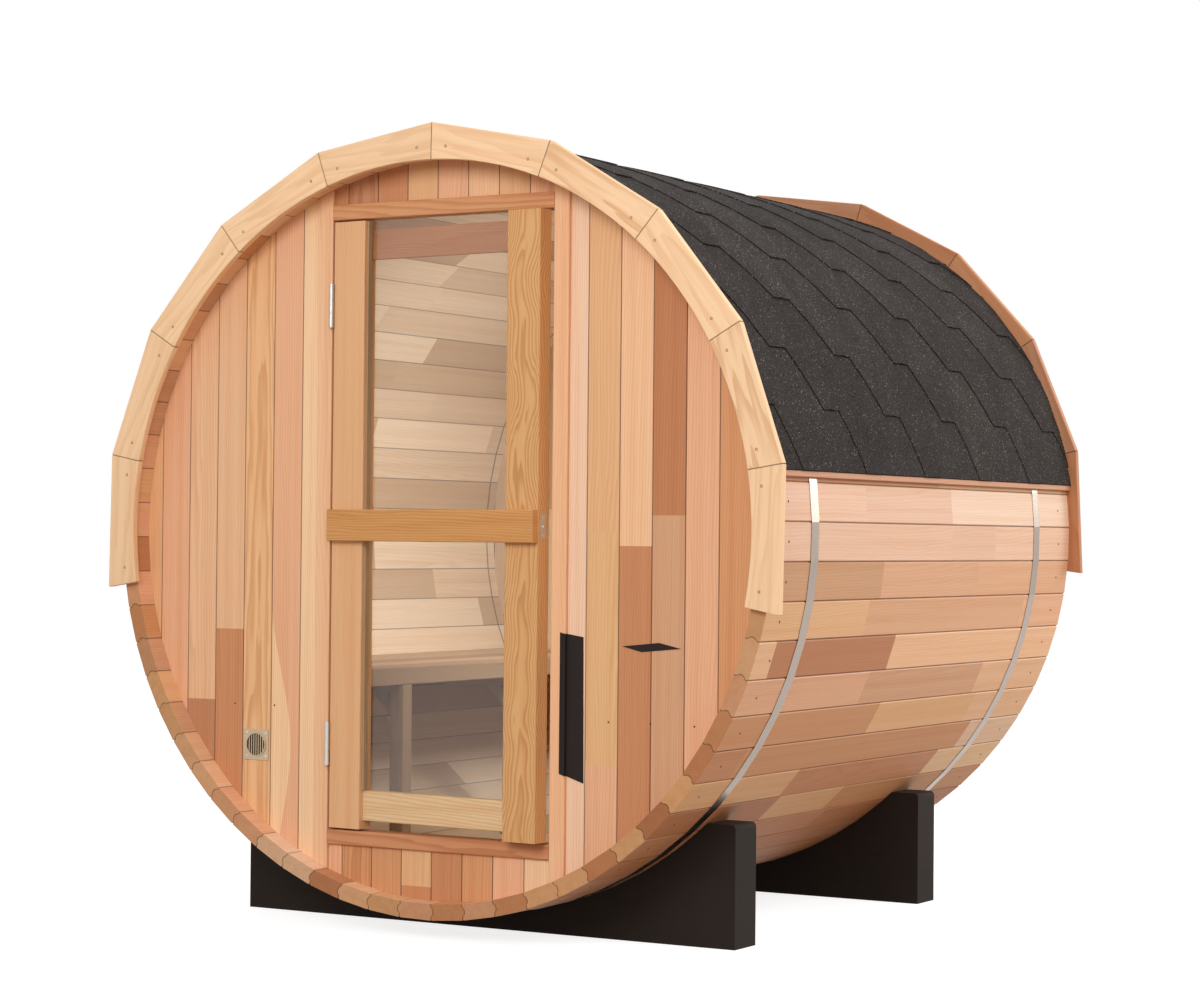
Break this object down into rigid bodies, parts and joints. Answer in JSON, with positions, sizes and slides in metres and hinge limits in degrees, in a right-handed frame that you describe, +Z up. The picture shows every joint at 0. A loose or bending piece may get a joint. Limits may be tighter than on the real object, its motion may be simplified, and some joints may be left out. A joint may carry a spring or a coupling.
{
  "type": "barrel sauna",
  "caption": "Outdoor barrel sauna of beaded cedar staves in steel bands on timber cradles, with a shingled upper half, boarded ends, a framed glass door and a bench inside.",
  "frame": {"origin": "on the ground under the middle of the barrel", "axes": "+Z up, +Y along the barrel towards its rear end, +X to the right seen from the door"},
  "size_m": [1.896, 1.798, 1.939],
  "materials": {
    "stave_wood": "oiled cedar staves of mixed tones",
    "wall_wood": "planed cedar boards",
    "trim_wood": "planed pale cedar",
    "frame_wood": "planed reddish cedar",
    "door_wood": "planed cedar with bold grain",
    "pale_wood": "sanded pale softwood",
    "cradle_timber": "matt black paint",
    "shingle": "mineral granules on bitumen",
    "band_steel": "bright stainless strap",
    "fitting_steel": "brushed stainless",
    "door_glass": "clear toughened glass"
  },
  "bodies": {
    "barrel": {"staves_right": "stave_wood", "staves_upper_right": "stave_wood", "staves_top": "stave_wood", "staves_upper_left": "stave_wood", "staves_left": "stave_wood", "staves_lower_left": "stave_wood", "staves_bottom": "stave_wood", "staves_lower_right": "stave_wood", "front_band": "band_steel", "rear_band": "band_steel", "front_cradle": "cradle_timber", "rear_cradle": "cradle_timber", "roof_right": "shingle", "roof_left": "shingle", "roof_batten_right": "trim_wood", "roof_batten_left": "trim_wood", "front_trim": "trim_wood", "rear_trim": "trim_wood", "front_wall_left": "wall_wood", "front_wall_right": "wall_wood", "front_wall_over_door": "wall_wood", "front_wall_under_door": "wall_wood", "rear_wall": "wall_wood", "door_jamb_left": "frame_wood", "door_jamb_right": "frame_wood", "door_header": "frame_wood", "door_sill": "frame_wood", "hinge_frame_leaves": "fitting_steel", "wall_vent": "fitting_steel", "bench_seat": "pale_wood", "bench_fascia": "pale_wood", "bench_legs": "pale_wood", "bench_bearers": "pale_wood", "bench_braces": "pale_wood"},
    "door": {"door_stile_left": "door_wood", "door_stile_right": "door_wood", "door_top_rail": "door_wood", "door_bottom_rail": "pale_wood", "door_glass": "door_glass", "door_glass_stops": "pale_wood", "door_cross_rail": "door_wood", "door_latch_plate": "fitting_steel", "hinge_door_leaves": "fitting_steel"}
  },
  "joints": [
    {"name": "door_hinge", "type": "hinge", "parent": "barrel", "child": "door", "pos_m": [-0.3095, -0.839, 0.971], "axis": [0, 0, -1], "range_deg": [-4.2, 95.8]}
  ]
}
